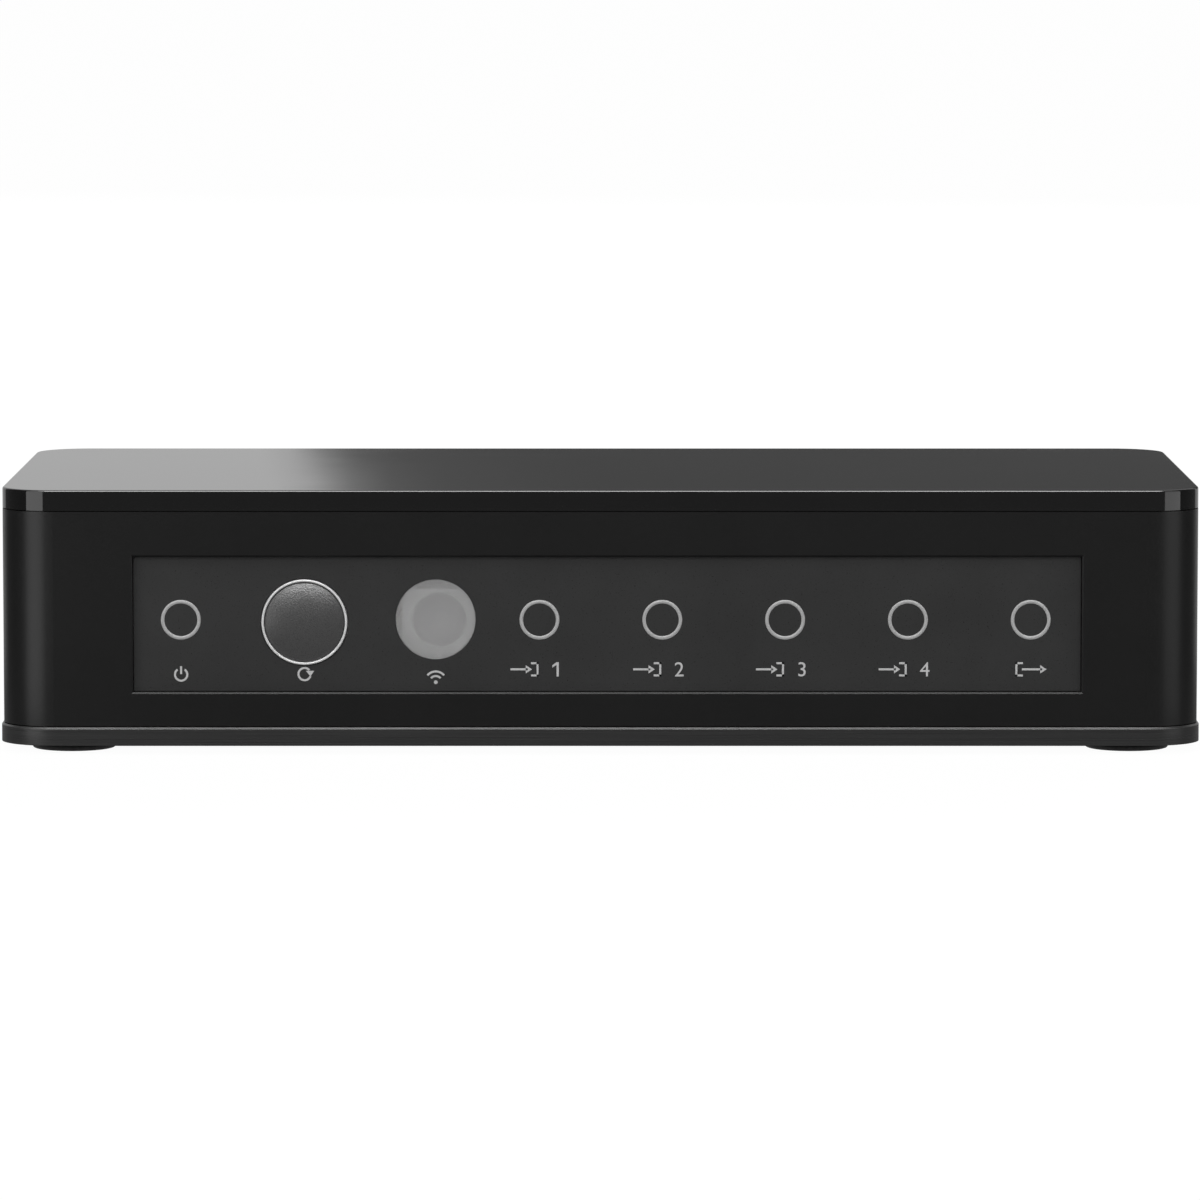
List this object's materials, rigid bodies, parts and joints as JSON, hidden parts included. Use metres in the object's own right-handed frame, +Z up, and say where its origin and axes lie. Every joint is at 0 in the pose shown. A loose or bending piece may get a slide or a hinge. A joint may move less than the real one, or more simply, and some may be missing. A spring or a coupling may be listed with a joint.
{
  "type": "video switch box",
  "caption": "Low black box that switches video sources to one output, with a glossy cover, a recessed front panel, a domed select button, an infrared window and rear sockets.",
  "frame": {"origin": "on the table under the middle of the case", "axes": "+X to the right seen from the front, +Y from front to rear, +Z up"},
  "size_m": [0.1204, 0.0554, 0.0265],
  "materials": {
    "case_matt": "matt moulded black",
    "cover_gloss": "polished black",
    "base_satin": "satin dark grey",
    "rear_matt": "matt black",
    "panel_satin": "satin dark grey with printed marks",
    "foot_rubber": "matt black",
    "screw_steel": "zinc plated",
    "ring_bright": "satin silver",
    "button_soft": "fine grain",
    "window_grey": "translucent grey",
    "lamp_clear": "clear",
    "holder_black": "matt",
    "lead_tin": "tinned",
    "eye_epoxy": "dark cast resin",
    "eye_can": "tinned",
    "switch_black": "matt",
    "switch_steel": "tinned",
    "plunger_black": "matt",
    "dome_steel": "bright",
    "board_green": "solder resist",
    "chip_black": "moulded",
    "capacitor_can": "bare",
    "crystal_steel": "bare",
    "socket_steel": "nickel plated",
    "socket_black": "moulded",
    "contact_gold": "gold plated",
    "jack_black": "moulded",
    "jack_nickel": "nickel plated",
    "jack_bronze": "bare"
  },
  "bodies": {
    "case": {"body_shell": "case_matt", "top_cover": "cover_gloss", "base_plate": "base_satin", "rear_panel": "rear_matt", "front_panel": "panel_satin", "foot_front_left": "foot_rubber", "foot_front_right": "foot_rubber", "foot_rear_left": "foot_rubber", "foot_rear_right": "foot_rubber", "case_screws": "screw_steel", "board_screws": "screw_steel", "button_ring": "ring_bright", "ir_window": "window_grey", "indicator_led_power": "lamp_clear", "indicator_led_input_1": "lamp_clear", "indicator_led_input_2": "lamp_clear", "indicator_led_input_3": "lamp_clear", "indicator_led_input_4": "lamp_clear", "indicator_led_output": "lamp_clear", "led_holder_power": "holder_black", "led_holder_input_1": "holder_black", "led_holder_input_2": "holder_black", "led_holder_input_3": "holder_black", "led_holder_input_4": "holder_black", "led_holder_output": "holder_black", "led_leads": "lead_tin", "ir_leads": "lead_tin", "switch_terminals": "lead_tin", "ir_receiver": "eye_epoxy", "ir_shield": "eye_can", "switch_base": "switch_black", "switch_cover": "switch_steel", "switch_dome": "dome_steel", "circuit_board": "board_green", "switching_chip": "chip_black", "control_chip": "chip_black", "regulator_chip": "chip_black", "capacitors": "capacitor_can", "crystal_can": "crystal_steel", "socket_shell_input_1": "socket_steel", "socket_shell_input_2": "socket_steel", "socket_shell_input_3": "socket_steel", "socket_shell_input_4": "socket_steel", "socket_shell_output": "socket_steel", "socket_tongue_input_1": "socket_black", "socket_tongue_input_2": "socket_black", "socket_tongue_input_3": "socket_black", "socket_tongue_input_4": "socket_black", "socket_tongue_output": "socket_black", "socket_contacts_input_1": "contact_gold", "socket_contacts_input_2": "contact_gold", "socket_contacts_input_3": "contact_gold", "socket_contacts_input_4": "contact_gold", "socket_contacts_output": "contact_gold", "power_jack_body": "jack_black", "power_jack_pin": "jack_nickel", "power_jack_spring": "jack_bronze"},
    "select_button": {"select_button": "button_soft"},
    "switch_plunger": {"switch_plunger": "plunger_black"}
  },
  "joints": [
    {"name": "select_press", "type": "slide", "parent": "case", "child": "select_button", "axis": [0, 1, 0], "range_m": [0, 0.0004], "stiffness_N_per_m": 1500, "springref_m": -0.0006},
    {"name": "plunger_press", "type": "slide", "parent": "case", "child": "switch_plunger", "axis": [0, 1, 0], "range_m": [0, 0.0004], "deforming": ["switch_dome"]}
  ],
  "couplings": [
    {"joint": "plunger_press", "follows": "select_press", "ratio": 1}
  ]
}
